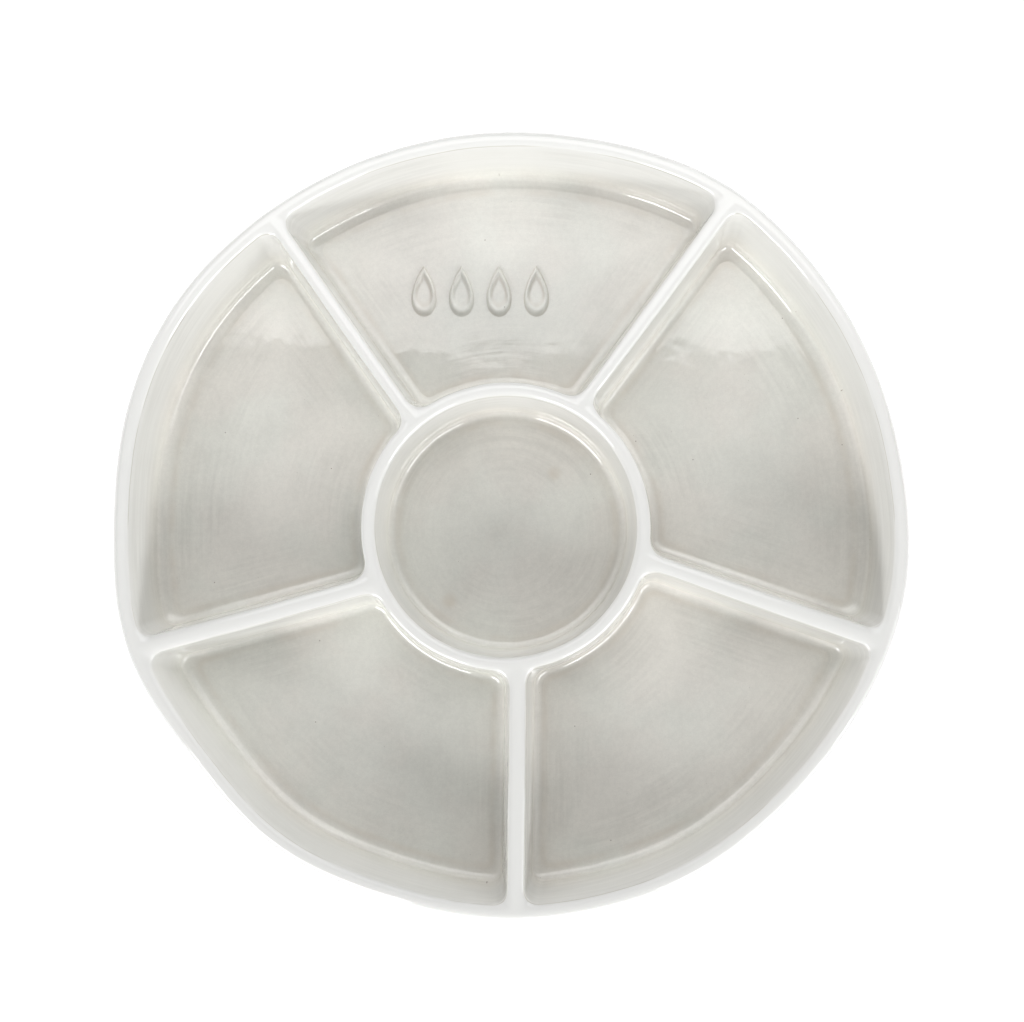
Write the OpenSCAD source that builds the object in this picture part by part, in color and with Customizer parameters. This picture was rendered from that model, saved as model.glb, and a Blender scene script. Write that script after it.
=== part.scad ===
// Round mixing palette in glazed ceramic: five wedge wells about a centre cup.
// Millimetres, +Z up, origin on the table below the centre of the rim.
// The palette is hand built: each divider stands to the left of its spoke line
// and the cup sits a little off centre, so no two wells are quite alike.

/* [Body] */
// Radius of the rim's outer edge
rim_r = 110; // [106:1:120]
// Height of the rim above the table
height = 30; // [27:0.5:34]
// Thickness of the base slab
slab_t = 5; // [4:0.5:6]
// Radius of the slab's rounded heel
heel_r = 3; // [1.5:0.5:3.5]
// Lean of the outer wall's outside face
outside_lean = 9; // [5:1:12]

/* [Walls] */
// Thickness of the outer wall at its top
outer_wall_t = 4.2; // [4:0.1:5.5]
// Thickness of the cup wall at its top
cup_wall_t = 3.8; // [3.6:0.1:5]
// Lean of every wall face inside the wells and the cup
lean = 6.5; // [4:0.5:8]
// Radius of the rounded top edges
lip_r = 1.7; // [1:0.1:1.8]
// Radius of the cove where a wall meets a floor
cove_r = 2.8; // [1.5:0.1:3.5]

/* [Cup] */
// Radius of the cup's mouth
cup_r = 36.4; // [30:0.2:38]
// Place of the cup's centre
cup_at = [-1.7, 0]; // [-2:0.1:2]

/* [Wells] */
// Radius of each well's two outer corners, at the floor
outer_corner_r = 0.8; // [0.6:0.1:3]
// Radius of each well's two corners at the cup, at the floor
inner_corner_r = 1; // [0.6:0.1:3]

/* [Foot] */
// Height of the foot ring
foot_h = 3; // [2:0.5:4]
// Outer radius of the foot ring
foot_r = 90; // [80:1:94]
// Width of the foot ring
foot_w = 6; // [4:0.5:8]
// Rounding of the foot ring's lower edges
foot_edge_r = 1.2; // [0.5:0.1:1.5]

/* [Relief] */
// Number of drops in the relief
drop_count = 4; // [1:1:5]
// Length of one drop
drop_l = 14; // [10:0.5:16]
// Width of one drop
drop_w = 7.6; // [6:0.2:9]
// Height of the relief above the floor
drop_h = 0.9; // [0.6:0.1:1.4]
// Distance from one drop to the next
drop_pitch = 11; // [9:0.2:12]
// Place of the relief's centre on the floor
relief_at = [-9.5, 70]; // [-20:0.5:80]

/* [Hidden] */

// Each divider's direction, the distance its centre line passes to the left of the
// origin, and its thickness at the top
DIVIDERS = [
    [52.7, 5.2, 3.8],
    [125.1, 5.4, 3.8],
    [195.9, 4.9, 4.9],
    [269.7, 2.1, 4.9],
    [340.4, 4.0, 4.6]
];

floor_z = foot_h + slab_t;
mouth_r = rim_r - outer_wall_t;
cup_outer_r = cup_r + cup_wall_t;
arc_steps = 6;
spare = 4;
// A corner's fillet stops this many degrees short of the point where it would thin to nothing
feather = 8;

glaze_white = "#EFEFEB";
bare_clay = "#D8CDBA";

// One face of a wall from its crest to the floor, as [reach into the well, height] points:
// a rounded lip, a straight leaning face and a cove.
lip_x = -lip_r * (1 - sin(lean)) / cos(lean);
cove_x = (height - floor_z - cove_r) * tan(lean) + cove_r / cos(lean);
WALL_FACE = concat(
    [
        for (i = [0:arc_steps])
            let (t = 90 - (90 - lean) * i / arc_steps)
            [lip_x + lip_r * cos(t), height - lip_r + lip_r * sin(t)]
    ],
    [
        for (i = [0:arc_steps])
            let (t = 180 + lean + (90 - lean) * i / arc_steps)
            [cove_x + cove_r * cos(t), floor_z + cove_r + cove_r * sin(t)]
    ]
);
function reversed(list) = [for (i = [len(list) - 1:-1:0]) list[i]];
// The face placed at radius r, reaching inward (way = -1) or outward (way = 1)
function face_at(r, way) = [for (p = WALL_FACE) [r + way * p[0], p[1]]];

// Radius of the outside face at height z, before its lip and heel are rounded
function outside_r(z) =
    rim_r + lip_r * (1 + sin(outside_lean)) / cos(outside_lean) - lip_r
    - (height - z) * tan(outside_lean);

module foot_ring() {
    inner_r = foot_r - foot_w;
    lower_edge = [
        for (side = [0, 1], i = [0:arc_steps])
            let (t = 180 + 90 * side + 90 * i / arc_steps)
            [(side == 1 ? foot_r - foot_edge_r : inner_r + foot_edge_r) + foot_edge_r * cos(t),
             foot_edge_r + foot_edge_r * sin(t)]
    ];
    color(bare_clay)
        rotate_extrude($fn = 180)
            polygon(concat([[inner_r, foot_h]], lower_edge, [[foot_r, foot_h]]));
}

module base_slab() {
    heel_x = outside_r(foot_h + heel_r) - heel_r / cos(outside_lean);
    heel = [
        for (i = [0:arc_steps])
            let (t = -90 + (90 - outside_lean) * i / arc_steps)
            [heel_x + heel_r * cos(t), foot_h + heel_r + heel_r * sin(t)]
    ];
    color(glaze_white)
        rotate_extrude($fn = 180)
            polygon(concat([[0, foot_h]], heel, [[outside_r(floor_z), floor_z], [0, floor_z]]));
}

module outer_wall() {
    outer_lip = [
        for (i = [0:arc_steps])
            let (t = 90 - (90 + outside_lean) * i / arc_steps)
            [rim_r - lip_r + lip_r * cos(t), height - lip_r + lip_r * sin(t)]
    ];
    color(glaze_white)
        rotate_extrude($fn = 180)
            polygon(concat(face_at(mouth_r, -1), [[outside_r(floor_z), floor_z]], reversed(outer_lip)));
}

module cup_wall() {
    color(glaze_white)
        translate(cup_at)
            rotate_extrude($fn = 120)
                polygon(concat(face_at(cup_r, -1), reversed(face_at(cup_outer_r, 1))));
}

// The space taken up by the outer wall, as seen by a divider that runs into it
module outer_wall_space() {
    rotate_extrude($fn = 180)
        polygon(concat(
            [[rim_r + 2 * spare, floor_z - 1], [rim_r + 2 * spare, height + 1]],
            [[mouth_r - lip_x, height + 1]],
            face_at(mouth_r, -1),
            [[mouth_r - cove_x, floor_z - 1]]
        ));
}

// The space taken up by the cup and its wall
module cup_space() {
    rotate_extrude($fn = 120)
        polygon(concat(
            [[0, floor_z - 1], [0, height + 1], [cup_outer_r + lip_x, height + 1]],
            face_at(cup_outer_r, 1),
            [[cup_outer_r + cove_x, floor_z - 1]]
        ));
}

// A filleted corner: the post with the given plan, hollowed by a round tapered cutter
module corner(centre, radius, plan) {
    difference() {
        translate([0, 0, floor_z])
            linear_extrude(height - floor_z)
                polygon(concat([centre], plan));
        translate(centre)
            rotate_extrude($fn = 60)
                polygon(concat(
                    [[0, floor_z - 1], [0, height + 1], [radius - lip_x, height + 1]],
                    face_at(radius, -1),
                    [[radius - cove_x, floor_z - 1]]
                ));
    }
}

// A point turned about the origin, and the unit vector in a direction
function turned(p, a) = [p[0] * cos(a) - p[1] * sin(a), p[0] * sin(a) + p[1] * cos(a)];
function unit(v) = v / norm(v);

// One side of a divider that runs along +X: half the bar and its two filleted corners
module divider_side(side, shift, thickness, cup) {
    edge = shift + side * thickness / 2;
    outer_top_r = outer_corner_r + cove_x;
    outer_y = edge + side * outer_top_r;
    outer_x = sqrt(pow(mouth_r - outer_top_r, 2) - outer_y * outer_y);
    outer_centre = [outer_x, outer_y];
    outer_way = turned(unit(outer_centre), -side * feather);

    inner_top_r = inner_corner_r + cove_x;
    inner_y = edge + side * inner_top_r;
    inner_x = cup[0] + sqrt(pow(cup_outer_r + inner_top_r, 2) - pow(inner_y - cup[1], 2));
    inner_centre = [inner_x, inner_y];
    inner_way = turned(unit(cup - inner_centre), side * feather);

    translate([inner_x, shift, 0])
        rotate([90, 0, 90])
            linear_extrude(outer_x - inner_x)
                polygon(concat(
                    [[0, floor_z], [0, height]],
                    [for (p = WALL_FACE) [side * (thickness / 2 + p[0]), p[1]]]
                ));
    corner(outer_centre, outer_top_r, [
        [outer_x, shift],
        [mouth_r + spare, shift],
        outer_centre + outer_way * (outer_top_r + spare)
    ]);
    corner(inner_centre, inner_top_r, [
        [inner_x, shift],
        [cup_r - spare, shift],
        inner_centre + inner_way * (inner_top_r + spare)
    ]);
}

module divider(spec) {
    cup = turned(cup_at, -spec[0]);
    color(glaze_white)
        rotate(spec[0])
            difference() {
                union() {
                    divider_side(1, spec[1], spec[2], cup);
                    divider_side(-1, spec[1], spec[2], cup);
                }
                outer_wall_space();
                translate(cup)
                    cup_space();
            }
}

// Outline of a drop, pointed at the top and round below
function drop_point(t) = [
    drop_w * 0.58 * sin(t) * pow(sin(t / 2), 0.9),
    drop_l / 2 * cos(t)
];

module relief_drops() {
    color(glaze_white)
        for (i = [0:drop_count - 1])
            translate([relief_at[0] + (i - (drop_count - 1) / 2) * drop_pitch, relief_at[1], floor_z])
                linear_extrude(drop_h)
                    polygon([for (t = [0:15:345]) drop_point(t)]);
}

foot_ring();
base_slab();
outer_wall();
cup_wall();
divider(DIVIDERS[0]);  // divider_1
divider(DIVIDERS[1]);  // divider_2
divider(DIVIDERS[2]);  // divider_3
divider(DIVIDERS[3]);  // divider_4
divider(DIVIDERS[4]);  // divider_5
relief_drops();
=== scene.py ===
import cmath
import math

import bpy
import numpy as np
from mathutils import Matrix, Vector, noise


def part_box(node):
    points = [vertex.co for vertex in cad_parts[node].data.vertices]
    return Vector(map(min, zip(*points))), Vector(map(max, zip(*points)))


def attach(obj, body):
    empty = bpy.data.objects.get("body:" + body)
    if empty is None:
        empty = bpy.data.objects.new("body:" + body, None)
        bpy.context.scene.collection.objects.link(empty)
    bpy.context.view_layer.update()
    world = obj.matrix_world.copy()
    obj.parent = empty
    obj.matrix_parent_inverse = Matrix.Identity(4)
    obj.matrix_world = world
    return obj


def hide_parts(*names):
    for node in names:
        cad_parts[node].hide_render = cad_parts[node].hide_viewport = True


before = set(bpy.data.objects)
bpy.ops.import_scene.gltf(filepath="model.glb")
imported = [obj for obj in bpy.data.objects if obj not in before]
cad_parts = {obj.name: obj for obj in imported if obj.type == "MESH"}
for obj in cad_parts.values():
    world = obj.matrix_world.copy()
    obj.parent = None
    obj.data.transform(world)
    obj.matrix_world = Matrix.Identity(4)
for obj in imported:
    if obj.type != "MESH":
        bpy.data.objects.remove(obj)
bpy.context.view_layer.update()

MM = 0.001

# ---- Sizes ------------------------------------------------------------------------------
# Plan positions are complex numbers, x + iy, and everything is in metres.

wall_low, wall_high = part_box("outer_wall")
slab_low, slab_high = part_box("base_slab")
cup_low, cup_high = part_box("cup_wall")
foot_low, foot_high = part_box("foot_ring")

RIM_R = (wall_high.y - wall_low.y) / 2
RIM_Z = wall_high.z
FLOOR_Z = slab_high.z
UNDER_Z = slab_low.z
FOOT_R = (foot_high.y - foot_low.y) / 2
CUP_CENTRE = complex(cup_low.x + cup_high.x, cup_low.y + cup_high.y) / 2

# How thick the rim and the cup wall are at the top, and how wide the foot ring is
RIM_T = 4.2 * MM
CUP_T = 3.8 * MM
FOOT_W = 6.0 * MM
MOUTH_R = RIM_R - RIM_T
CUP_R = 36.4 * MM
CUP_OUTER_R = CUP_R + CUP_T

# Each divider's direction in degrees, how far it passes to the left of the centre, and its
# thickness at the cup and at the rim
DIVIDERS = {
    "divider_1": (52.7, 5.2 * MM, 3.4 * MM, 4.4 * MM),
    "divider_2": (125.1, 5.4 * MM, 3.8 * MM, 3.8 * MM),
    "divider_3": (195.9, 4.9 * MM, 4.9 * MM, 4.9 * MM),
    "divider_4": (269.7, 2.1 * MM, 4.9 * MM, 4.9 * MM),
    "divider_5": (340.4, 4.0 * MM, 4.4 * MM, 5.0 * MM),
}
NAMES = list(DIVIDERS)
WELLS = list(zip(NAMES, NAMES[1:] + NAMES[:1]))    # the right and the left divider of each

# How far the rim, the dividers and the cup wall reach into a well between mouth and floor
RIM_RUN = 6.0 * MM
DIVIDER_RUN = 4.4 * MM
CUP_RUN = 4.2 * MM
CUP_INNER_RUN = 4.0 * MM

# The walls' lean and the cove at their foot, and the outside's lean and its heel
LEAN = math.radians(5.5)
COVE_R = 2.4 * MM
OUTSIDE_LEAN = math.radians(9)
HEEL_R = 3.0 * MM

# How far a crest drops to the mouth and to the outside, and its flatness: 2 makes it round
LIP_DROP = 1.5 * MM
OUTER_LIP_DROP = 2.2 * MM
LIP_FLATNESS = 2.4

# Plan radii of the wells' corners at the mouth and at the floor
OUTER_CORNER = (4.0 * MM, 3.0 * MM)
INNER_CORNER = (5.2 * MM, 3.6 * MM)

# Mesh steps along the rim or cup side of a well, along a divider, and round a corner
RIM_STEPS, DIVIDER_STEPS, CORNER_STEPS = 80, 40, 12
HALF = CORNER_STEPS // 2
ROUND_SIDE_STEPS = RIM_STEPS + CORNER_STEPS
DIVIDER_SIDE_STEPS = DIVIDER_STEPS + CORNER_STEPS

# Mesh steps over a lip, down a wall, round a cove or the heel, and across the cup's floor
LIP_STEPS, FACE_STEPS, COVE_STEPS = 12, 6, 8
CUP_FLOOR_STEPS = 34

# The rings of points across the underside, inside the foot ring
UNDERSIDE_RINGS = (66 * MM, 44 * MM, 22 * MM)

# The brush's way down every wall is counted as this long, from the crest to the floor. On a
# floor its marks are plainest where one wall is nearer than the others by at least so much.
WALL_LENGTH = 25 * MM
BETWEEN_WALLS = 9 * MM


# ---- Plan curves ------------------------------------------------------------------------

def face_line(divider, side, inset):
    """A divider's face in plan: a point on it, its way outward and its normal into the well.
    side is 1 for the left face, -1 for the right and 0 for the centre line."""
    angle, shift, near_t, far_t = DIVIDERS[divider]
    along = cmath.exp(1j * math.radians(angle))
    near = CUP_OUTER_R * along + 1j * along * (shift + side * near_t / 2)
    far = MOUTH_R * along + 1j * along * (shift + side * far_t / 2)
    way = (far - near) / abs(far - near)
    into = side * 1j * way
    return near + into * inset, way, into


def corner(line, centre, radius, fillet_r, inside):
    """The fillet between a face line and a circle: its centre, and the directions from there
    to where it meets the line and the circle."""
    point, way, into = line
    reach = radius - fillet_r if inside else radius + fillet_r
    start = point + into * fillet_r - centre
    ahead = (start * way.conjugate()).real
    middle = centre + start + way * (math.sqrt(ahead**2 - abs(start) ** 2 + reach**2) - ahead)
    out = (middle - centre) / abs(middle - centre)
    return middle, -into, out if inside else -out


def arc(centre, radius, start, end, steps):
    """Points on a circle from one direction to another, the short way round."""
    turn = cmath.phase(end / start)
    return centre + radius * start * np.exp(1j * turn * np.linspace(0, 1, steps + 1))


def straight(start, end, steps):
    """Points on a straight line."""
    return start + (end - start) * np.linspace(0, 1, steps + 1)


def joined(*curves):
    """Curves that follow one another, as one."""
    return np.concatenate([curves[0]] + [c[1:] for c in curves[1:]])


def looped(curves):
    """Curves that lead back to their start, as one ring of points with none twice."""
    return np.concatenate([c[:-1] for c in curves])


def closed(ring):
    """A ring of points with its first point again at its end."""
    return np.append(ring, ring[0])


def well_outline(right, left, level):
    """A well's outline as four curves that meet at the middles of its corners: along the rim,
    down the left divider, back along the cup and up the right divider. level is 0 at the
    mouth and 1 at the floor."""
    rim_r = MOUTH_R - RIM_RUN * level
    cup_r = CUP_OUTER_R + CUP_RUN * level
    right_face = face_line(right, 1, DIVIDER_RUN * level)
    left_face = face_line(left, -1, DIVIDER_RUN * level)
    bends = {}
    for name, face in (("right", right_face), ("left", left_face)):
        for place, centre, radius, inside, fillets in (
            ("outer", 0, rim_r, True, OUTER_CORNER),
            ("inner", CUP_CENTRE, cup_r, False, INNER_CORNER),
        ):
            middle, at_line, at_circle = corner(face, centre, radius, fillets[level], inside)
            bends[place, name] = arc(middle, fillets[level], at_line, at_circle, CORNER_STEPS)

    def round_side(place, centre, radius, names):
        first, last = (bends[place, name] for name in names)
        ends = ((first[-1] - centre) / radius, (last[-1] - centre) / radius)
        middle = arc(centre, radius, *ends, RIM_STEPS)
        return joined(first[HALF:], middle, last[HALF:][::-1])

    def divider_side(name):
        outer, inner = bends["outer", name], bends["inner", name]
        return joined(outer[HALF::-1], straight(outer[0], inner[0], DIVIDER_STEPS), inner[: HALF + 1])

    return [
        round_side("outer", 0, rim_r, ("right", "left")),
        divider_side("left"),
        round_side("inner", CUP_CENTRE, cup_r, ("left", "right")),
        divider_side("right")[::-1],
    ]


def spine_point(divider, centre, radius):
    """Where a divider's centre line meets a circle."""
    return corner(face_line(divider, 0, 0), centre, radius, 0, True)[0]


def round_spine(outline, centre, radius, start, end):
    """The crest of the rim or the cup wall beside a well, between two dividers' ends."""
    ways = [(p - centre) / abs(p - centre) for p in (start, outline[HALF], outline[-HALF - 1], end)]
    steps = (HALF, RIM_STEPS, HALF)
    return joined(*[arc(centre, radius, ways[i], ways[i + 1], steps[i]) for i in range(3)])


def divider_spine(left_face, right_face, outer_end, inner_end):
    """The crest of a divider, midway between its two faces."""
    middle = ((left_face + right_face) / 2)[HALF : HALF + DIVIDER_STEPS + 1]
    return joined(
        straight(outer_end, middle[0], HALF), middle, straight(middle[-1], inner_end, HALF)
    )


# ---- Wall profiles ----------------------------------------------------------------------
# A profile is rows of (share of the way across, height). The lip goes from the crest to the
# edge of the mouth, and the face goes on from there down the wall and round the cove.

def lip_rows(drop, low_angle):
    """A quarter of a superellipse, flatter on top than a circle, and on to the low angle."""
    power = 2 / LIP_FLATNESS
    rows = []
    for a in np.linspace(math.pi / 2, 0, LIP_STEPS + 1):
        rows.append((1 - abs(math.cos(a)) ** power, RIM_Z - drop * (1 - math.sin(a) ** power)))
    if low_angle < 0:
        rows.append((1 - math.cos(low_angle), RIM_Z - drop * (1 - math.sin(low_angle))))
    return rows


def face_rows():
    """Rows from just under the lip to the floor, as shares of the wall's run."""
    top = RIM_Z - LIP_DROP
    run = (top - FLOOR_Z - COVE_R) * math.tan(LEAN) + COVE_R / math.cos(LEAN)
    straight_drop = top - FLOOR_Z - COVE_R * (1 - math.sin(LEAN))
    rows = []
    for i in range(1, FACE_STEPS + 1):
        down = straight_drop * i / FACE_STEPS
        rows.append((down * math.tan(LEAN) / run, top - down))
    for i in range(1, COVE_STEPS + 1):
        a = math.pi + LEAN + (math.pi / 2 - LEAN) * i / COVE_STEPS
        rows.append(((run + COVE_R * math.cos(a)) / run, FLOOR_Z + COVE_R * (1 + math.sin(a))))
    return rows


# ---- The skin ---------------------------------------------------------------------------

class Skin:
    """The points of the whole palette, and its faces by the member they belong to. Seen faces
    make the glazed surface. Unseen faces close each member where it meets another."""

    def __init__(self):
        self.points = []
        self.seen = {}
        self.unseen = {}
        self.brush = {}

    def add(self, plan, height):
        """Adds points above plan positions, and returns their numbers."""
        plan = np.atleast_1d(np.asarray(plan, complex))
        height = np.broadcast_to(height, plan.shape)
        first = len(self.points)
        self.points.extend(zip(plan.real, plan.imag, height))
        return np.arange(first, first + len(plan))

    def stroke(self, numbers, around, inward, weight=1.0):
        """Notes where points lie for the brush: a place on a circle that stands for the way
        round a well, how far in from the crest, and how plain the brush's marks are."""
        for number, place, depth in zip(numbers, around, np.broadcast_to(inward, len(numbers))):
            self.brush[int(number)] = (place.real, place.imag, depth, weight)

    def face(self, member, corners, toward, seen=True):
        """Adds a face that points along the vector toward, or away from the axis if that is
        "out"."""
        corners = [int(c) for i, c in enumerate(corners) if c != corners[i - 1]]
        p = np.array([self.points[c] for c in corners])
        normal = sum(np.cross(p[i] - p[0], p[i + 1] - p[0]) for i in range(1, len(p) - 1))
        if isinstance(toward, str):
            toward = (*p[:, :2].mean(0), 0)
        if np.dot(normal, toward) < 0:
            corners.reverse()
        (self.seen if seen else self.unseen).setdefault(member, []).append(corners)

    def strip(self, member, row_a, row_b, toward, seen=True):
        """Adds the faces between two rows of points. member is one name, or one for each."""
        members = [member] * (len(row_a) - 1) if isinstance(member, str) else member
        for i, name in enumerate(members):
            self.face(name, (row_a[i], row_a[i + 1], row_b[i + 1], row_b[i]), toward, seen)


UP, DOWN = (0, 0, 1), (0, 0, -1)
skin = Skin()


def add_spine(curve, ends):
    """Adds a crest whose end points are shared with other crests."""
    return np.concatenate([[ends[0]], skin.add(curve[1:-1], RIM_Z), [ends[1]]])


def members_round(right, left):
    """Which member each step round a well belongs to: along the rim, down the left divider,
    back along the cup and up the right divider."""
    down = ["outer_wall"] * HALF + [left] * DIVIDER_STEPS + ["cup_wall"] * HALF
    up = ["cup_wall"] * HALF + [right] * DIVIDER_STEPS + ["outer_wall"] * HALF
    return ["outer_wall"] * ROUND_SIDE_STEPS + down + ["cup_wall"] * ROUND_SIDE_STEPS + up


def as_circle(curve):
    """Spreads a closed curve's points round a circle of the same length."""
    steps = abs(np.roll(curve, -1) - curve)
    place = np.concatenate([[0], np.cumsum(steps)[:-1]]) / steps.sum()
    return steps.sum() / math.tau * np.exp(1j * math.tau * place)


def plan_of(numbers):
    """The plan positions of points of the skin."""
    return np.array([complex(*skin.points[i][:2]) for i in numbers])


def build_walls(spine, mouth, foot, members):
    """The wall round a well from its crest down to its floor. Returns its rows of points."""
    crest = plan_of(spine)
    rows = [spine]
    for across, height in lip_rows(LIP_DROP, 0)[1:]:
        rows.append(skin.add(mouth + (crest - mouth) * across, height))
    for across, height in face_rows():
        rows.append(skin.add(mouth + (foot - mouth) * across, height))
    for upper, lower in zip(rows, rows[1:]):
        skin.strip(members, closed(upper), closed(lower), UP)
    around = as_circle(mouth)
    whole_way = RIM_Z - FLOOR_Z + abs(foot[1] - crest[1])
    for row in rows:
        drop = RIM_Z - skin.points[row[1]][2]
        across = abs(plan_of(row[1:2])[0] - crest[1])
        skin.stroke(row, around, WALL_LENGTH * (drop + across) / whole_way)
    return np.array(rows)


def coons(bottom, top, left, right):
    """Fills in a grid from its four edges: a blend of straight lines between opposite edges."""
    s = np.linspace(0, 1, len(bottom))[None, :]
    t = np.linspace(0, 1, len(left))[:, None]
    across = (1 - t) * bottom[None, :] + t * top[None, :]
    along = (1 - s) * left[:, None] + s * right[:, None]
    low = (1 - s) * (1 - t) * bottom[0] + s * (1 - t) * bottom[-1]
    high = (1 - s) * t * top[0] + s * t * top[-1]
    return across + along - (low + high)


def build_floor(foot_points, foot):
    """A well's floor, as a grid between its four sides."""
    rim_side, left_side, cup_side, right_side = foot_points
    grid = coons(foot[2][::-1], foot[0], foot[3], foot[1][::-1])
    numbers = np.zeros(grid.shape, int)
    numbers[0], numbers[-1] = cup_side[::-1], rim_side
    numbers[:, 0], numbers[:, -1] = right_side, left_side[::-1]
    inner = grid[1:-1, 1:-1]
    numbers[1:-1, 1:-1] = skin.add(inner.ravel(), FLOOR_Z).reshape(inner.shape)
    for upper, lower in zip(numbers, numbers[1:]):
        skin.strip("base_slab", upper, lower, UP)
    stroke_floor(numbers[1:-1, 1:-1].ravel(), foot_points)


def stroke_floor(numbers, sides):
    """Carries the brush's way on from the foot of the walls over a floor. The marks are plain
    beside one wall, and faint where two walls are as near."""
    side_plans = [plan_of(side) for side in sides]
    for number, place in zip(numbers, plan_of(numbers)):
        far = [abs(plan - place) for plan in side_plans]
        gaps = [distances.min() for distances in far]
        first, second = np.argsort(gaps, kind="stable")[:2]
        nearest = sides[first][far[first].argmin()]
        x, y = skin.brush[int(nearest)][:2]
        weight = min((gaps[second] - gaps[first]) / BETWEEN_WALLS, 1.0)
        skin.stroke([number], [complex(x, y)], WALL_LENGTH + gaps[first], weight)


def bottom_joint(member, row_a, row_b):
    """The hidden joint between a wall and the slab it stands on."""
    skin.strip(member, row_a, row_b, DOWN, seen=False)
    skin.strip("base_slab", row_a, row_b, UP, seen=False)


def bottom_joint_corner(member, *corners):
    """One face of such a joint, where three walls meet."""
    skin.face(member, corners, DOWN, seen=False)
    skin.face("base_slab", corners, UP, seen=False)


def end_joint(divider, other, left_column, right_column, outward):
    """The hidden joint where a divider runs into another wall."""
    way = face_line(divider, 0, 0)[1]
    toward = np.array([way.real, way.imag, 0]) * outward
    skin.strip(divider, left_column, right_column, toward, seen=False)
    skin.strip(other, left_column, right_column, -toward, seen=False)


def build_wells():
    """All five wells. Returns the crests beside them and, for each of their sides, its rows of
    points."""
    outlines = {well: [well_outline(*well, level) for level in (0, 1)] for well in WELLS}
    rim_mid = (RIM_R + MOUTH_R) / 2
    cup_mid = (CUP_R + CUP_OUTER_R) / 2
    outer_end = {d: spine_point(d, 0, rim_mid) for d in NAMES}
    inner_end = {d: spine_point(d, CUP_CENTRE, cup_mid) for d in NAMES}
    outer_number = {d: skin.add(outer_end[d], RIM_Z)[0] for d in NAMES}
    inner_number = {d: skin.add(inner_end[d], RIM_Z)[0] for d in NAMES}

    divider_crest = {}
    for right_well, left_well in zip([WELLS[-1]] + WELLS[:-1], WELLS):
        divider = left_well[0]
        left_face = outlines[left_well][0][3][::-1]
        right_face = outlines[right_well][0][1]
        curve = divider_spine(left_face, right_face, outer_end[divider], inner_end[divider])
        divider_crest[divider] = add_spine(curve, (outer_number[divider], inner_number[divider]))

    rim_crest, cup_crest, sides = {}, {}, {}
    for well in WELLS:
        right, left = well
        mouth, foot = outlines[well]
        curve = round_spine(mouth[0], 0, rim_mid, outer_end[right], outer_end[left])
        rim_crest[well] = add_spine(curve, (outer_number[right], outer_number[left]))
        curve = round_spine(mouth[2], CUP_CENTRE, cup_mid, inner_end[left], inner_end[right])
        cup_crest[well] = add_spine(curve, (inner_number[left], inner_number[right]))

        spines = [rim_crest[well], divider_crest[left], cup_crest[well], divider_crest[right][::-1]]
        rows = build_walls(looped(spines), looped(mouth), looped(foot), members_round(right, left))
        rows = np.hstack([rows, rows[:, :1]])
        starts = np.cumsum([0] + [len(c) - 1 for c in mouth])
        sides[well] = [rows[:, a : b + 1] for a, b in zip(starts, starts[1:])]
        build_floor([side[-1] for side in sides[well]], foot)
    return rim_crest, cup_crest, sides


def build_outside(rim_crest):
    """The outside face, the heel and the underside. Returns the ring of points at floor level."""
    ring = looped([rim_crest[well] for well in WELLS])
    crest = plan_of(ring)
    way = crest / abs(crest)
    rows = [ring]
    for across, height in lip_rows(OUTER_LIP_DROP, -OUTSIDE_LEAN)[1:]:
        rows.append(skin.add(RIM_R * way + (crest - RIM_R * way) * across, height))
    lip_x, lip_z = abs(plan_of(rows[-1][:1])[0]), skin.points[rows[-1][0]][2]
    for z in np.linspace(lip_z, FLOOR_Z, FACE_STEPS + 1)[1:]:
        rows.append(skin.add(outside_r(lip_x, lip_z, z) * way, z))
    for upper, lower in zip(rows, rows[1:]):
        skin.strip("outer_wall", closed(upper), closed(lower), "out")
    for row in rows[1:]:
        skin.stroke(row, RIM_R * way, RIM_Z - skin.points[row[0]][2])
    build_underside(rows[-1], way, lip_x, lip_z)
    return rows[-1]


def outside_r(lip_x, lip_z, z):
    """The outside's radius at a height, below a lip that ends at lip_x and lip_z."""
    return lip_x - (lip_z - z) * math.tan(OUTSIDE_LEAN)


def build_underside(top_row, way, lip_x, lip_z):
    """The heel and the flat underside, from the ring of points at floor level inward."""
    heel_top = UNDER_Z + HEEL_R * (1 - math.sin(OUTSIDE_LEAN))
    heel_x = outside_r(lip_x, lip_z, heel_top) - HEEL_R * math.cos(OUTSIDE_LEAN)
    rows = [top_row]
    for i in range(COVE_STEPS + 1):
        a = -OUTSIDE_LEAN - (math.pi / 2 - OUTSIDE_LEAN) * i / COVE_STEPS
        height = UNDER_Z + HEEL_R * (1 + math.sin(a))
        rows.append(skin.add((heel_x + HEEL_R * math.cos(a)) * way, height))
    for radius in (FOOT_R + 2 * MM, FOOT_R, FOOT_R - FOOT_W, *UNDERSIDE_RINGS):
        rows.append(skin.add(radius * way, UNDER_Z))
    for i, (upper, lower) in enumerate(zip(rows, rows[1:])):
        toward = "out" if i < COVE_STEPS // 2 else DOWN
        skin.strip("base_slab", closed(upper), closed(lower), toward)
        skin.stroke(lower, RIM_R * way, RIM_Z - UNDER_Z + RIM_R - abs(plan_of(lower)))
    fan("base_slab", rows[-1], skin.add(0, UNDER_Z)[0], DOWN)


def fan(member, ring, centre, toward):
    """The triangles from a ring of points to the one in its middle."""
    ring = closed(ring)
    for a, b in zip(ring, ring[1:]):
        skin.face(member, (a, b, centre), toward)


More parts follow.
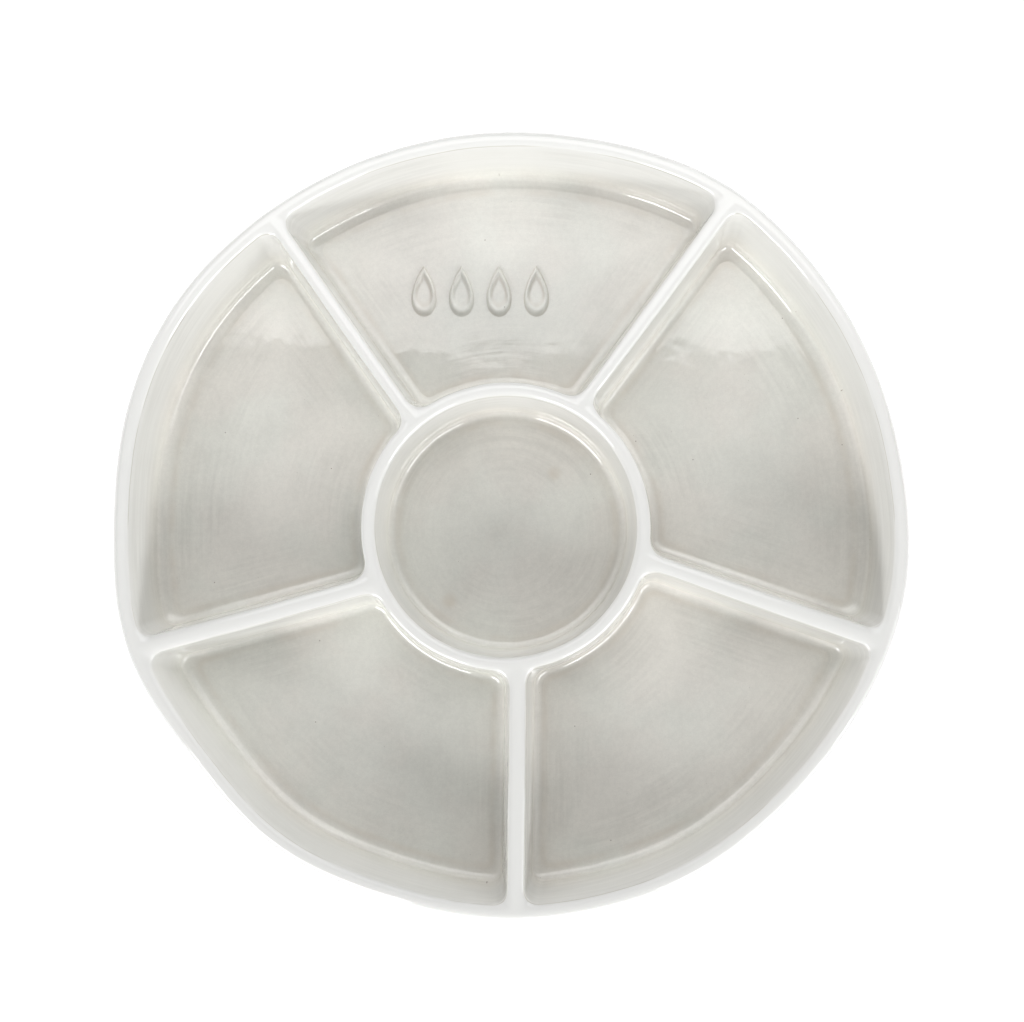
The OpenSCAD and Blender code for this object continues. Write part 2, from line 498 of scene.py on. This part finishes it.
def build_cup(cup_crest):
    """The cup's inside. Returns the ring of points at its foot, beside each well's crest."""
    ring = looped([cup_crest[well][::-1] for well in WELLS])
    crest = plan_of(ring)
    way = (crest - CUP_CENTRE) / abs(crest - CUP_CENTRE)
    mouth = CUP_CENTRE + CUP_R * way
    foot = CUP_CENTRE + (CUP_R - CUP_INNER_RUN) * way
    rows = build_walls(ring, mouth, foot, ["cup_wall"] * len(ring))
    floor = [rows[-1]]
    for share in np.linspace(1, 0, CUP_FLOOR_STEPS + 1)[1:-1]:
        floor.append(skin.add(CUP_CENTRE + (foot - CUP_CENTRE) * share, FLOOR_Z))
        inward = WALL_LENGTH + (1 - share) * (CUP_R - CUP_INNER_RUN)
        skin.stroke(floor[-1], CUP_R * way, inward)
    for outer, inner in zip(floor, floor[1:]):
        skin.strip("base_slab", closed(outer), closed(inner), UP)
    fan("base_slab", floor[-1], skin.add(CUP_CENTRE, FLOOR_Z)[0], UP)
    return rows[-1]


def build_joints(sides, outside_ring, cup_ring):
    """The hidden faces that close every member."""
    steps = ROUND_SIDE_STEPS
    for k, well in enumerate(WELLS):
        take = (np.arange(steps + 1) + k * steps) % len(outside_ring)
        bottom_joint("outer_wall", outside_ring[take], sides[well][0][-1])
        bottom_joint("cup_wall", cup_ring[take][::-1], sides[well][2][-1])

        divider = well[0]
        left = sides[well][3][:, ::-1]
        right = sides[WELLS[k - 1]][1]
        cup_start = HALF + DIVIDER_STEPS
        for member, a, b in (
            ("outer_wall", 0, HALF),
            (divider, HALF, cup_start),
            ("cup_wall", cup_start, DIVIDER_SIDE_STEPS),
        ):
            bottom_joint(member, left[-1][a : b + 1], right[-1][a : b + 1])
        bottom_joint_corner("outer_wall", outside_ring[k * steps], left[-1][0], right[-1][0])
        bottom_joint_corner("cup_wall", cup_ring[k * steps], left[-1][-1], right[-1][-1])
        end_joint(divider, "outer_wall", left[:, HALF], right[:, HALF], 1)
        end_joint(divider, "cup_wall", left[:, cup_start], right[:, cup_start], -1)


# ---- The hand of the maker --------------------------------------------------------------
# The rim's outline is a circle with slow swells, read off the photograph's outline: how many
# round the rim, how large in mm, and where they peak, in degrees
SWELLS = [
    (0, 0.35, 0), (2, 0.77, 8), (3, 0.38, 40), (4, 0.35, -30), (5, 0.45, -8), (6, 0.17, -6),
    (7, 0.26, -8), (8, 0.24, 16), (9, 0.21, -8), (10, 0.26, 19), (11, 0.14, 2), (12, 0.11, -7),
]
RIM_SHIFT = complex(-0.5, 0.8) * MM

# The surface wanders slowly and ripples finely: how many cells of noise a metre has, and how
# far the rim's points move sideways and upward
UNEVENNESS = [(24, 0.35 * MM, 0.4 * MM), (120, 0.09 * MM, 0.03 * MM)]
noise.seed_set(1)    # without a seed, noise_vector takes one from the clock

# Dimples and blisters in the cup's floor: where, how wide and how high
DENTS = [
    (complex(12, 16.5) * MM, 2.0 * MM, -0.08 * MM),
    (complex(-18.5, -20.5) * MM, 2.1 * MM, -0.09 * MM),
    (complex(3.5, -0.5) * MM, 2.6 * MM, 0.12 * MM),
    (complex(8.5, 5.5) * MM, 1.2 * MM, 0.06 * MM),
]


# Where past the foot of a wall the glaze pools thickest, and how wide the pool is
POOL_AT, POOL_WIDTH = 0.6 * MM, 1.1 * MM


def dent_depth(plan):
    """How far the dents lift plan positions, and the share of the glaze's pooling there."""
    lift = sum(height * np.exp(-(abs(plan - place) / wide) ** 4) for place, wide, height in DENTS)
    return lift, np.clip(-lift / (0.05 * MM), 0, 1.8)


def handmade(points):
    """Moves points from the true geometry to where a hand left them."""
    points = np.array(points, float)
    plan = points[:, 0] + 1j * points[:, 1]
    angle = np.angle(plan)
    swell = sum(
        size * MM * np.cos(count * (angle - math.radians(peak))) for count, size, peak in SWELLS
    )
    outward = (abs(plan) / RIM_R) ** 3
    plan = plan + outward * (swell * np.exp(1j * angle) + RIM_SHIFT)
    lifted = np.clip((points[:, 2] - UNDER_Z) / (RIM_Z - UNDER_Z), 0, 1)
    moved = np.column_stack([plan.real, plan.imag, points[:, 2]])
    for cells, sideways, upward in UNEVENNESS:
        field = np.array([noise.noise_vector(Vector(p) * cells) for p in points])
        moved[:, :2] += field[:, :2] * sideways * lifted[:, None]
        moved[:, 2] += field[:, 2] * upward * np.sqrt(lifted)
    on_floor = abs(points[:, 2] - FLOOR_Z) < 1e-6
    moved[:, 2] += dent_depth(plan)[0] * on_floor
    return moved


def smooth_normals(points, faces):
    """Each point's normal over all the faces that meet there, whichever member they are in."""
    normals = np.zeros_like(points)
    for size in (3, 4):
        some = np.array([f for f in faces if len(f) == size])
        if not len(some):
            continue
        p = points[some]
        if size == 3:
            flat = np.cross(p[:, 1] - p[:, 0], p[:, 2] - p[:, 0])
        else:
            flat = np.cross(p[:, 2] - p[:, 0], p[:, 3] - p[:, 1])
        for column in range(size):
            np.add.at(normals, some[:, column], flat)
    lengths = np.linalg.norm(normals, axis=1)
    return normals / np.maximum(lengths, 1e-12)[:, None]


def flat_normal(p):
    """The normal of a face of three or four corners."""
    normal = np.cross(p[1] - p[0], p[2] - p[0])
    if len(p) == 4:
        normal = np.cross(p[2] - p[0], p[3] - p[1])
    return normal / max(np.linalg.norm(normal), 1e-12)


def link_piece(name, points, faces, material):
    """A smooth-shaded mesh object in the scene."""
    mesh = bpy.data.meshes.new(name)
    mesh.from_pydata(points.tolist(), [], faces)
    mesh.polygons.foreach_set("use_smooth", [True] * len(faces))
    mesh.materials.append(material)
    piece = bpy.data.objects.new(name, mesh)
    bpy.context.scene.collection.objects.link(piece)
    return piece


def paint_data(piece, brush, weight, pool, outside):
    """Gives a mesh what the glaze needs: the brush's way, how plain its marks are, how thick
    the glaze has pooled, and which points are on the outside."""
    for name, kind, key, values in (
        ("brush", "FLOAT_VECTOR", "vector", brush),
        ("brushed", "FLOAT", "value", weight),
        ("pool", "FLOAT", "value", pool),
        ("outside", "FLOAT", "value", outside),
    ):
        attribute = piece.data.attributes.new(name, kind, "POINT")
        attribute.data.foreach_set(key, np.ravel(values))


def stand_for(piece, node):
    """Puts a piece in a CAD node's place, on the only body."""
    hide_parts(node)
    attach(piece, "root")


def paint_member(piece, used):
    """Gives a member's mesh its glaze, from where its points lie on the true geometry."""
    brush = np.array([skin.brush.get(i, (0, 0, 0, 0)) for i in used])
    plan = plan_of(used)
    heights = np.array([skin.points[i][2] for i in used])
    past_foot = brush[:, 2] - WALL_LENGTH
    ring = np.exp(-(((past_foot - POOL_AT) / POOL_WIDTH) ** 2)) * (abs(plan) < MOUTH_R)
    dents = dent_depth(plan)[1] * (past_foot > 0)
    # Points on the outside, which get the painted shade under the crest
    outside = (abs(plan) > MOUTH_R + 0.3 * MM) | (heights < FLOOR_Z - 0.1 * MM)
    paint_data(piece, brush[:, :3], brush[:, 3], np.maximum(ring, dents), outside * 1.0)


def make_member(name, points, normals, material):
    """One member as a closed mesh, shaded as part of the whole glazed surface."""
    seen, unseen = skin.seen[name], skin.unseen.get(name, [])
    used = sorted({i for f in seen + unseen for i in f})
    place = {old: new for new, old in enumerate(used)}
    faces = [[place[i] for i in f] for f in seen + unseen]
    piece = link_piece(name + "_glazed", points[used], faces, material)
    paint_member(piece, used)
    loops = [normals[i] for f in seen for i in f]
    for f in unseen:
        loops += [flat_normal(points[f])] * len(f)
    piece.data.normals_split_custom_set(loops)
    stand_for(piece, name)


# ---- The relief and the foot ------------------------------------------------------------

# How far out across a drop, as a share of its outline, and the height above the floor in mm
DROP_ROWS = [
    (1.14, -0.2), (1.07, 0.02), (1.02, 0.2), (0.98, 0.5), (0.93, 0.76), (0.86, 0.9), (0.78, 0.86),
    (0.71, 0.68), (0.64, 0.44), (0.55, 0.3), (0.4, 0.26), (0.2, 0.28),
]
DROP_COUNT = 4
DROP_STEPS = 72
DROP_SWELL = 4.4 * MM    # the half width a drop would have without its taper
DROP_TAPER = 0.9         # how fast a drop narrows to its point

# The foot ring's rounded edges, how hollow its sole is and how far it runs into the slab
EDGE_R = 1.2 * MM
EDGE_STEPS = 8
SOLE_HOLLOW = 0.12 * MM
FOOT_OVERLAP = 0.1 * MM
FOOT_STEPS = 360


def turned(rows, steps):
    """Faces between rings of points that follow one another, each of steps points."""
    faces = []
    for i in range(rows - 1):
        for j in range(steps):
            k = (j + 1) % steps
            a, b = i * steps, (i + 1) * steps
            faces.append([a + j, a + k, b + k, b + j])
    return faces


def drop_pool(share, height):
    """How thick the glaze pools on a row of a drop: at its foot, and inside its raised edge."""
    at_foot = 1 - abs(height - 0.15) / 0.3
    inside_edge = 1 - abs(share - 0.6) / 0.12
    return 1.5 * max(at_foot if share > 0.9 else inside_edge, 0)


def drop_faces():
    """The faces of one drop: its rings, then its top and its hidden bottom, closed to a point."""
    count = len(DROP_ROWS) * DROP_STEPS
    top, bottom = count, count + 1
    faces = turned(len(DROP_ROWS), DROP_STEPS)
    for j in range(DROP_STEPS):
        k = (j + 1) % DROP_STEPS
        faces.append([count - DROP_STEPS + j, count - DROP_STEPS + k, top])
        faces.append([k, j, bottom])
    return faces


def build_drops(material):
    """The row of drops pressed up from the top well's floor, each with a rounded edge and a
    shallow middle."""
    low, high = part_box("relief_drops")
    length = high.y - low.y
    middle = complex(low.x + high.x, low.y + high.y) / 2
    turns = np.linspace(0, math.tau, DROP_STEPS, endpoint=False)
    half_width = DROP_SWELL * np.sin(turns) * abs(np.sin(turns / 2)) ** DROP_TAPER
    pitch = (high.x - low.x - 2 * half_width.max()) / (DROP_COUNT - 1)
    outline = -half_width + 1j * length / 2 * np.cos(turns)
    top, bottom = DROP_ROWS[-1][1], DROP_ROWS[0][1]
    points, faces, pool = [], [], []
    for d in range(DROP_COUNT):
        centre = middle + (d - (DROP_COUNT - 1) / 2) * pitch
        first = len(points)
        for share, height in DROP_ROWS:
            ring = centre + outline * share
            points += [(p.real, p.imag, FLOOR_Z + height * MM) for p in ring]
            pool += [drop_pool(share, height)] * DROP_STEPS
        points += [(centre.real, centre.imag, FLOOR_Z + height * MM) for height in (top, bottom)]
        pool += [0, 0]
        faces += [[first + i for i in face] for face in drop_faces()]
    piece = link_piece("relief_drops_glazed", handmade(points), faces, material)
    brush = np.array([(x, y, 3 * WALL_LENGTH) for x, y, z in points])
    plain = np.zeros(len(points))
    paint_data(piece, brush, plain, np.array(pool), plain)
    stand_for(piece, "relief_drops")


def rounded_edge(middle_r, start):
    """A quarter turn of the foot ring's section, from a direction in degrees."""
    turns = [math.radians(start + 90 * i / EDGE_STEPS) for i in range(EDGE_STEPS + 1)]
    return [(middle_r + EDGE_R * math.cos(a), EDGE_R + EDGE_R * math.sin(a)) for a in turns]


def build_foot(material):
    """The bare ring the palette stands on, with rounded edges and a slightly hollow sole."""
    inner_r, top = FOOT_R - FOOT_W, UNDER_Z + FOOT_OVERLAP
    across = [(inner_r + FOOT_W * s, SOLE_HOLLOW * math.sin(math.pi * s)) for s in (0.35, 0.5, 0.65)]
    inner_edge = rounded_edge(inner_r + EDGE_R, 180)
    outer_edge = rounded_edge(FOOT_R - EDGE_R, 270)
    section = [(inner_r, top)] + inner_edge + across + outer_edge + [(FOOT_R, top)]
    way = np.exp(1j * math.tau * np.arange(FOOT_STEPS) / FOOT_STEPS)
    points = [(p.real, p.imag, z) for r, z in section for p in r * way]
    faces = turned(len(section) + 1, FOOT_STEPS)
    faces = [[i % len(points) for i in f] for f in faces]
    piece = link_piece("foot_ring_bare", handmade(points), faces, material)
    stand_for(piece, "foot_ring")


# ---- Materials --------------------------------------------------------------------------

class Painter:
    """A material's nodes, added one after another with their inputs already joined."""

    def __init__(self, name):
        self.material = bpy.data.materials.new(name)
        self.material.use_nodes = True
        self.tree = self.material.node_tree
        self.shader = self.tree.nodes["Principled BSDF"]

    def put(self, socket, value):
        """Joins a socket to another node's output, or sets it to a value."""
        if isinstance(value, bpy.types.NodeSocket):
            self.tree.links.new(value, socket)
        else:
            socket.default_value = value

    def add(self, kind, inputs, output=0, **settings):
        """Adds a node with its inputs and settings, and returns one of its outputs."""
        node = self.tree.nodes.new("ShaderNode" + kind)
        for key, value in settings.items():
            setattr(node, key, value)
        for key, value in inputs.items():
            self.put(node.inputs[key], value)
        return node.outputs[output]

    def attribute(self, name, output):
        node = self.tree.nodes.new("ShaderNodeAttribute")
        node.attribute_name = name
        return node.outputs[output]

    def stretch(self, vector, scales):
        """Multiplies a vector by a scale for each axis."""
        return self.add("VectorMath", {0: vector, 1: scales}, operation="MULTIPLY")

    def noise(self, vector, scale, detail=2.0, roughness=0.5):
        return self.add(
            "TexNoise", {"Vector": vector, "Scale": scale, "Detail": detail, "Roughness": roughness}, "Fac"
        )

    def ramp(self, value, low, high, to_low=0.0, to_high=1.0):
        """Maps a value smoothly from one range to another, held at both ends."""
        return self.add(
            "MapRange",
            {"Value": value, "From Min": low, "From Max": high, "To Min": to_low, "To Max": to_high},
            interpolation_type="SMOOTHSTEP",
        )

    def math(self, operation, a, b=0.0):
        return self.add("Math", {0: a, 1: b}, operation=operation)

    def times(self, a, b):
        return self.math("MULTIPLY", a, b)

    def mix(self, share, a, b):
        node = self.tree.nodes.new("ShaderNodeMix")
        node.data_type = "RGBA"
        for key, value in (("Factor_Float", share), ("A_Color", a), ("B_Color", b)):
            socket = next(i for i in node.inputs if i.identifier == key)
            self.put(socket, value)
        return next(o for o in node.outputs if o.identifier == "Result_Color")

    def darken(self, colour, share, strength):
        """Multiplies a colour by 1 - share x strength."""
        factor = self.math("SUBTRACT", 1.0, self.times(share, strength))
        return self.add("VectorMath", {0: colour, 3: factor}, operation="SCALE")

    def bump(self, height, depth, normal=None):
        inputs = {"Height": height, "Distance": depth}
        if normal is not None:
            inputs["Normal"] = normal
        return self.add("Bump", inputs)


# Colours of the glaze over a crest and a wall, painted shade on the outside, glaze over a floor
# with a cool and a warm cast, where it pools, in a hairline and in a speck, and two bare clay colours
CREST_WHITE = (0.715, 0.715, 0.698, 1)
WALL_WHITE = (0.712, 0.710, 0.685, 1)
OUTSIDE_PAINTED_SHADE = (0.62, 0.612, 0.58, 1)
COOL_GREY = (0.800, 0.798, 0.744, 1)
WARM_GREY = (0.812, 0.790, 0.737, 1)
POOLED = (0.62, 0.565, 0.49, 1)
HAIRLINE = (0.46, 0.44, 0.38, 1)
SPECK = (0.16, 0.11, 0.08, 1)
PALE_CLAY = (0.80, 0.765, 0.70, 1)
DARK_CLAY = (0.72, 0.67, 0.59, 1)

# Specks on the floors: how many cells in a metre, how large a speck is and how strong
SPECKS = [(38, 0.2 * MM, 0.85), (85, 0.1 * MM, 0.6), (24, 0.28 * MM, 0.5)]
HAIRLINE_AT = 3.9 * MM    # how far from the crest a hairline runs


def brush_marks(paint, place, brush, inward):
    """How plain the brush's marks are, and its coarse and fine marks. They run along the walls
    and fade out toward the middle of a floor."""
    on_wall = paint.ramp(inward, 3 * MM, 7 * MM)
    before_middle = paint.ramp(inward, WALL_LENGTH + 4 * MM, WALL_LENGTH + 30 * MM, 1, 0.2)
    plain = paint.times(before_middle, paint.attribute("brushed", "Fac"))
    patchy = paint.ramp(paint.noise(place, 28, 2.0), 0.38, 0.6, 0.35, 1)
    plain = paint.times(on_wall, paint.times(plain, patchy))
    coarse = paint.noise(paint.stretch(brush, (18, 18, 560)), 1.0, 3.0, 0.6)
    fine = paint.noise(paint.stretch(brush, (60, 60, 1000)), 1.0, 2.0, 0.6)
    return plain, coarse, fine


def glaze_cast(paint, place, height):
    """The glaze's colour by height: greyer and patchy on a floor, whiter up the walls, and with painted
    shade on the outside under the crest. Returns it with the share of the floor in it."""
    cast = paint.ramp(paint.noise(place, 34, 3.0, 0.55), 0.38, 0.62)
    floor = paint.mix(cast, COOL_GREY, WARM_GREY)
    white = paint.ramp(height, FLOOR_Z + 1.5 * MM, FLOOR_Z + 12 * MM)
    colour = paint.mix(white, floor, WALL_WHITE)
    # Painted shade: under the crest the outside is painted a darker grey than the glaze, to hold back the
    # light that the glowing floor and the low softboxes throw on it
    under_rim = paint.ramp(height, RIM_Z - 9 * MM, RIM_Z - 2 * MM, 1, 0)
    outside = paint.times(paint.attribute("outside", "Fac"), under_rim)
    colour = paint.mix(outside, colour, OUTSIDE_PAINTED_SHADE)
    crest = paint.ramp(height, RIM_Z - 4 * MM, RIM_Z - 1 * MM)
    return paint.mix(crest, colour, CREST_WHITE), paint.math("SUBTRACT", 1.0, white)


def pool_glaze(paint, place, colour):
    """Glaze pools at the foot of the walls, unevenly."""
    uneven = paint.ramp(paint.noise(place, 70, 3.0, 0.6), 0.35, 0.65, 0.06, 0.38)
    return paint.mix(paint.times(paint.attribute("pool", "Fac"), uneven), colour, POOLED)


def add_hairline(paint, place, brush, inward, colour):
    """Where a wall turns over into its crest a broken dark hairline is painted."""
    wander = paint.noise(paint.stretch(brush, (60, 60, 0)), 1.0, 2.0)
    line_at = paint.math("ADD", inward, paint.times(wander, 0.6 * MM))
    off_line = paint.math("ABSOLUTE", paint.math("SUBTRACT", line_at, HAIRLINE_AT))
    on_line = paint.ramp(off_line, 0.08 * MM, 0.3 * MM, 1, 0)
    broken = paint.ramp(paint.noise(place, 36, 2.0), 0.42, 0.56, 0.05, 0.7)
    return paint.mix(paint.times(on_line, broken), colour, HAIRLINE)


def add_specks(paint, place, height, colour):
    """Pinholes and specks, only near a floor. A few of the cells of each size have one."""
    flat = paint.stretch(place, (1, 1, 0))
    near_floor = paint.ramp(height, FLOOR_Z + 2 * MM, FLOOR_Z + 5 * MM, 1, 0)
    for scale, radius, strength in SPECKS:
        cells = {"Vector": flat, "Scale": scale}
        far = paint.add("TexVoronoi", cells, "Distance", voronoi_dimensions="2D")
        lot = paint.add("TexVoronoi", cells, "Color", voronoi_dimensions="2D")
        kept = paint.ramp(paint.add("SeparateXYZ", {0: lot}, "X"), 0.62, 0.63, 0, strength)
        spot = paint.times(kept, paint.ramp(far, radius * scale * 0.5, radius * scale, 1, 0))
        colour = paint.mix(paint.times(spot, near_floor), colour, SPECK)
    return colour


def glaze_material():
    """Glossy white glaze over a hand-made surface."""
    paint = Painter("glaze")
    place = paint.add("TexCoord", {}, "Object")
    height = paint.add("SeparateXYZ", {0: place}, "Z")
    brush = paint.attribute("brush", "Vector")
    inward = paint.add("SeparateXYZ", {0: brush}, "Z")
    brushed, coarse, fine = brush_marks(paint, place, brush, inward)
    streaks = paint.ramp(paint.math("ADD", coarse, paint.times(fine, 0.6)), 0.55, 1.05)
    streaks = paint.times(streaks, brushed)
    mottle = paint.ramp(paint.noise(place, 90, 4.0, 0.6), 0.35, 0.7)
    grain = paint.noise(place, 2600, 2.0, 0.7)
    flecks = paint.ramp(paint.noise(place, 800, 2.0, 0.6), 0.35, 0.65)

    colour, low = glaze_cast(paint, place, height)
    colour = paint.darken(colour, paint.times(mottle, low), 0.05)
    colour = paint.darken(colour, streaks, 0.085)
    colour = paint.darken(colour, paint.times(grain, low), 0.12)
    colour = paint.darken(colour, paint.times(flecks, low), 0.035)
    colour = pool_glaze(paint, place, colour)
    colour = add_hairline(paint, place, brush, inward, colour)
    colour = add_specks(paint, place, height, colour)
    paint.put(paint.shader.inputs["Base Color"], colour)

    rough = paint.ramp(paint.noise(place, 60, 3.0), 0.3, 0.7, 0.015, 0.05)
    rough = paint.math("ADD", rough, paint.times(streaks, 0.04))
    paint.put(paint.shader.inputs["Roughness"], rough)
    paint.shader.inputs["Specular IOR Level"].default_value = 0.8

    on_floor = paint.ramp(inward, 15 * MM, WALL_LENGTH, 0.3, 1)
    ridges = paint.times(paint.times(paint.math("ADD", coarse, fine), brushed), on_floor)
    normal = paint.bump(ridges, 0.02 * MM)
    normal = paint.bump(paint.noise(place, 140, 2.0), 0.07 * MM, normal)
    normal = paint.bump(grain, 0.001 * MM, normal)
    paint.put(paint.shader.inputs["Normal"], normal)
    return paint.material


def clay_material():
    """Bare fired clay: matt, pale and grainy, with faint turning marks round the ring."""
    paint = Painter("bare_clay")
    place = paint.add("TexCoord", {}, "Object")
    grain = paint.noise(place, 3000, 3.0, 0.7)
    blotch = paint.ramp(paint.noise(place, 110, 4.0, 0.6), 0.3, 0.7)
    flat = paint.stretch(place, (1, 1, 0))
    radius = paint.add("VectorMath", {0: flat}, "Value", operation="LENGTH")
    marks = paint.noise(paint.add("CombineXYZ", {"X": radius}), 2200, 2.0, 0.6)
    colour = paint.mix(blotch, PALE_CLAY, DARK_CLAY)
    colour = paint.darken(colour, grain, 0.16)
    colour = paint.darken(colour, marks, 0.1)
    paint.put(paint.shader.inputs["Base Color"], colour)
    paint.shader.inputs["Roughness"].default_value = 0.85
    normal = paint.bump(marks, 0.05 * MM)
    paint.put(paint.shader.inputs["Normal"], paint.bump(grain, 0.06 * MM, normal))
    return paint.material


# ---- Light, floor and camera ------------------------------------------------------------

# Each lamp's azimuth and elevation in degrees, how far off it is, its width and height in
# metres, and its power in watts. Azimuth 0 is on the near side, and 90 on the right.
LAMPS = {
    "softbox_left": (-37, 25, 2.6, (1.7, 0.6), 48.5),
    "softbox_right": (42, 23.5, 2.6, (1.7, 0.6), 35.0),
    "side_fill": (68, 23, 2.6, (1.0, 0.8), 8.5),
    "fill_back": (180, 23, 0.8, (0.7, 0.35), 0.9),
    "fill_left": (-135, 32, 0.8, (0.6, 0.35), 0.8),
    "fill_right": (135, 32, 0.8, (0.6, 0.35), 1.1),
    "panel_above": (180, 59, 0.6, (0.6, 0.35), 1.3),
}
STUDIO_HALF = 20.0    # half the studio floor's width, in metres

# Where the camera stands and the point on the rim's plane that is amid the picture, in mm
CAMERA_AT = (8.5, -20.4, 430)
MIDDLE = (0.14, 4.3, 30)


def add_softbox(name, azimuth, elevation, distance, size, power):
    """A soft lamp that looks at the palette."""
    a, e = math.radians(azimuth), math.radians(elevation)
    way = Vector((math.sin(a) * math.cos(e), -math.cos(a) * math.cos(e), math.sin(e)))
    light = bpy.data.lights.new(name, "AREA")
    light.shape = "RECTANGLE"
    light.size, light.size_y = size
    light.energy = power
    lamp = bpy.data.objects.new(name, light)
    lamp.location = way * distance
    lamp.rotation_euler = way.to_track_quat("Z", "Y").to_euler()
    bpy.context.scene.collection.objects.link(lamp)


def add_floor():
    """A wide pale floor that glows a little, so that the background is white."""
    mesh = bpy.data.meshes.new("studio_floor")
    corners = [(x * STUDIO_HALF, y * STUDIO_HALF, 0) for x, y in ((-1, -1), (1, -1), (1, 1), (-1, 1))]
    mesh.from_pydata(corners, [], [(0, 1, 2, 3)])
    floor = bpy.data.objects.new("studio_floor", mesh)
    bpy.context.scene.collection.objects.link(floor)
    paint = Painter("studio_floor")
    paint.shader.inputs["Base Color"].default_value = (0.4, 0.4, 0.4, 1)
    paint.shader.inputs["Roughness"].default_value = 0.9
    paint.shader.inputs["Specular IOR Level"].default_value = 0.0
    paint.shader.inputs["Emission Color"].default_value = (1, 1, 1, 1)
    paint.shader.inputs["Emission Strength"].default_value = 0.68
    mesh.materials.append(paint.material)


def add_camera():
    """Straight above the palette and looking straight down, with the lens shifted so that the
    palette stays in the middle of the picture."""
    camera = bpy.data.objects.new("camera", bpy.data.cameras.new("camera"))
    place, middle = Vector(CAMERA_AT) * MM, Vector(MIDDLE) * MM
    lens = camera.data
    lens.lens = 50.75
    lens.sensor_width = 36
    lens.clip_start = 0.01
    per_metre = lens.lens / lens.sensor_width / (place.z - middle.z)
    lens.shift_x = (middle.x - place.x) * per_metre
    lens.shift_y = (middle.y - place.y) * per_metre
    camera.location = place
    bpy.context.scene.collection.objects.link(camera)
    bpy.context.scene.camera = camera


def set_world(horizon, zenith):
    """Soft white light all round, brighter near the horizon than overhead."""
    world = bpy.data.worlds.new("studio")
    world.use_nodes = True
    tree = world.node_tree
    place = tree.nodes.new("ShaderNodeTexCoord")
    height = tree.nodes.new("ShaderNodeSeparateXYZ")
    fade = tree.nodes.new("ShaderNodeMapRange")
    fade.interpolation_type = "SMOOTHSTEP"
    tree.links.new(place.outputs["Generated"], height.inputs[0])
    tree.links.new(height.outputs["Z"], fade.inputs["Value"])
    for key, value in (("From Min", 0.05), ("From Max", 0.45), ("To Min", horizon), ("To Max", zenith)):
        fade.inputs[key].default_value = value
    tree.nodes["Background"].inputs["Color"].default_value = (1, 1, 1, 1)
    tree.links.new(fade.outputs[0], tree.nodes["Background"].inputs["Strength"])
    bpy.context.scene.world = world
    bpy.context.scene.view_settings.view_transform = "Standard"


# ---- Everything together ----------------------------------------------------------------

rim_crest, cup_crest, sides = build_wells()
outside_ring = build_outside(rim_crest)
cup_ring = build_cup(cup_crest)
build_joints(sides, outside_ring, cup_ring)
points = handmade(skin.points)
normals = smooth_normals(points, [f for faces in skin.seen.values() for f in faces])
glaze = glaze_material()
for member in skin.seen:
    make_member(member, points, normals, glaze)
build_drops(glaze)
build_foot(clay_material())

add_floor()
add_camera()
set_world(0.55, 0.2)
for name, lamp in LAMPS.items():
    add_softbox(name, *lamp)
